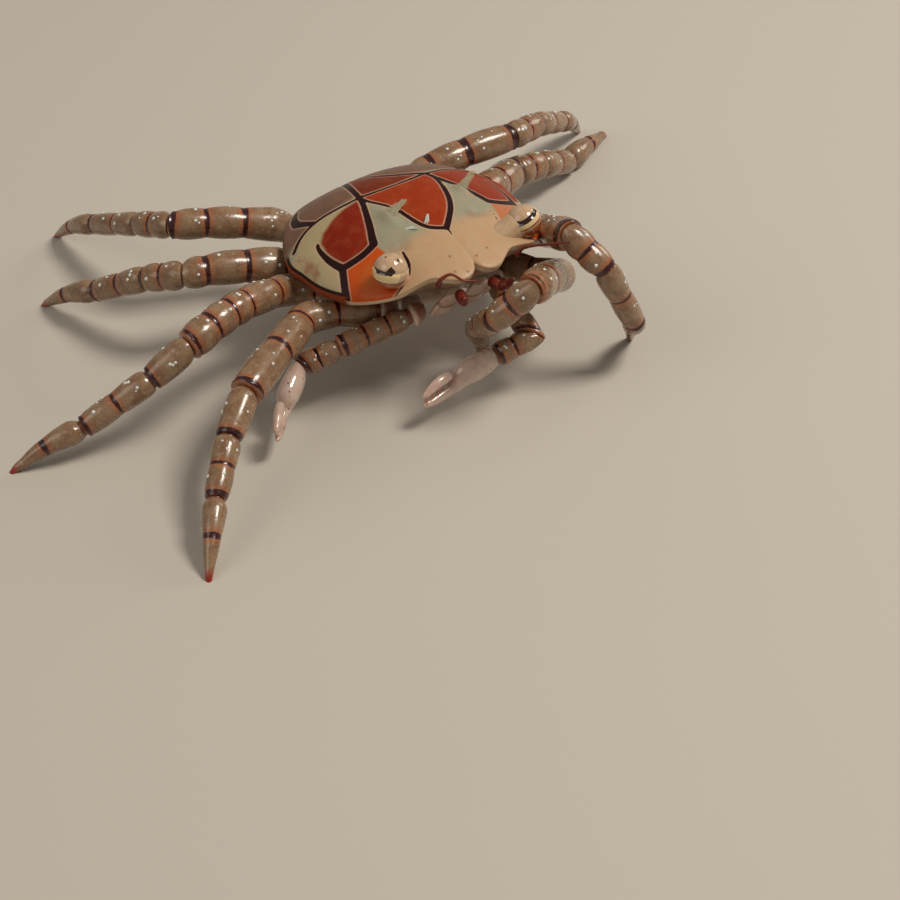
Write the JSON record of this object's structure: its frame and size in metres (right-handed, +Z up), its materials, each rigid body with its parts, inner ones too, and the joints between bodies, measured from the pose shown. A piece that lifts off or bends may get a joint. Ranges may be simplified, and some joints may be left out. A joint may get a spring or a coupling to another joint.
{
  "type": "boxer crab",
  "caption": "Small round-backed crab standing on slender banded walking legs, with thin claws held low in front and eyes on short stalks.",
  "frame": {"origin": "middle of the bounding box seen from above, on the floor that the leg tips stand on", "axes": "+Z up from the floor, -Y the way the crab faces, +X to the crab's left"},
  "size_m": [0.0508, 0.0354, 0.0107],
  "materials": {
    "shell": "smooth carapace with a satin shine, rust-red, grey and beige fields between dark lines",
    "limb": "glossy, brownish beige with dark maroon rings",
    "claw": "glossy, pale pinkish beige",
    "underside": "satin, pale beige",
    "eyestalk": "satin, beige with small dark spots",
    "eye": "polished, cream with a dark brown stripe and spot",
    "feeler": "glossy, dark red"
  },
  "bodies": {
    "root": {"abdomen": "underside", "antenna_L": "feeler", "antenna_R": "feeler", "antennule_L": "feeler", "antennule_R": "feeler", "carapace": "shell", "claw_L_carpus": "limb", "claw_L_finger": "claw", "claw_L_hand": "claw", "claw_L_merus": "limb", "claw_R_carpus": "limb", "claw_R_finger": "claw", "claw_R_hand": "claw", "claw_R_merus": "limb", "eye_L": "eye", "eye_R": "eye", "eyestalk_L": "eyestalk", "eyestalk_R": "eyestalk", "leg2_L_carpus": "limb", "leg2_L_dactylus": "limb", "leg2_L_merus": "limb", "leg2_L_propodus": "limb", "leg2_R_carpus": "limb", "leg2_R_dactylus": "limb", "leg2_R_merus": "limb", "leg2_R_propodus": "limb", "leg3_L_carpus": "limb", "leg3_L_dactylus": "limb", "leg3_L_merus": "limb", "leg3_L_propodus": "limb", "leg3_R_carpus": "limb", "leg3_R_dactylus": "limb", "leg3_R_merus": "limb", "leg3_R_propodus": "limb", "leg4_L_carpus": "limb", "leg4_L_dactylus": "limb", "leg4_L_merus": "limb", "leg4_L_propodus": "limb", "leg4_R_carpus": "limb", "leg4_R_dactylus": "limb", "leg4_R_merus": "limb", "leg4_R_propodus": "limb", "leg5_L_carpus": "limb", "leg5_L_dactylus": "limb", "leg5_L_merus": "limb", "leg5_L_propodus": "limb", "leg5_R_carpus": "limb", "leg5_R_dactylus": "limb", "leg5_R_merus": "limb", "leg5_R_propodus": "limb", "maxilliped_L": "underside", "maxilliped_R": "underside", "thorax": "underside"}
  },
  "joints": []
}
